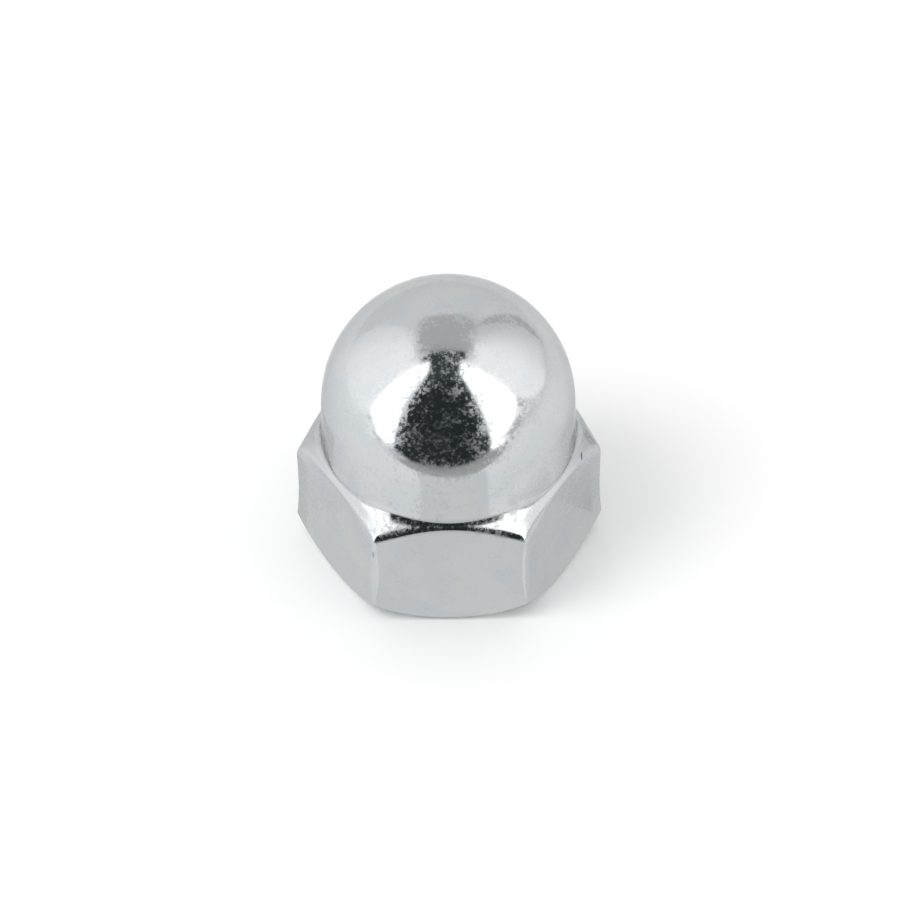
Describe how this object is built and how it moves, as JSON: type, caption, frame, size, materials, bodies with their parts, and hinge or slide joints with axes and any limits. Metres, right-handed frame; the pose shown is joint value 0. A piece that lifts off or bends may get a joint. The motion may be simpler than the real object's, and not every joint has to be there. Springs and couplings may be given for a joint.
{
  "type": "cap nut",
  "caption": "Hexagon nut closed by a round dome, with a blind threaded hole that covers and protects the end of a bolt or stud.",
  "frame": {"origin": "centre of the bearing face, on the thread axis", "axes": "+Z along the thread axis, from the bearing face to the top of the dome; +Y square to a flat, +X through a corner"},
  "size_m": [0.015, 0.013, 0.0149],
  "materials": {
    "zinc_plate": "bright zinc plate on steel, smooth and glossy with a fine grain"
  },
  "bodies": {
    "root": {"cap_nut": "zinc_plate"}
  },
  "joints": []
}
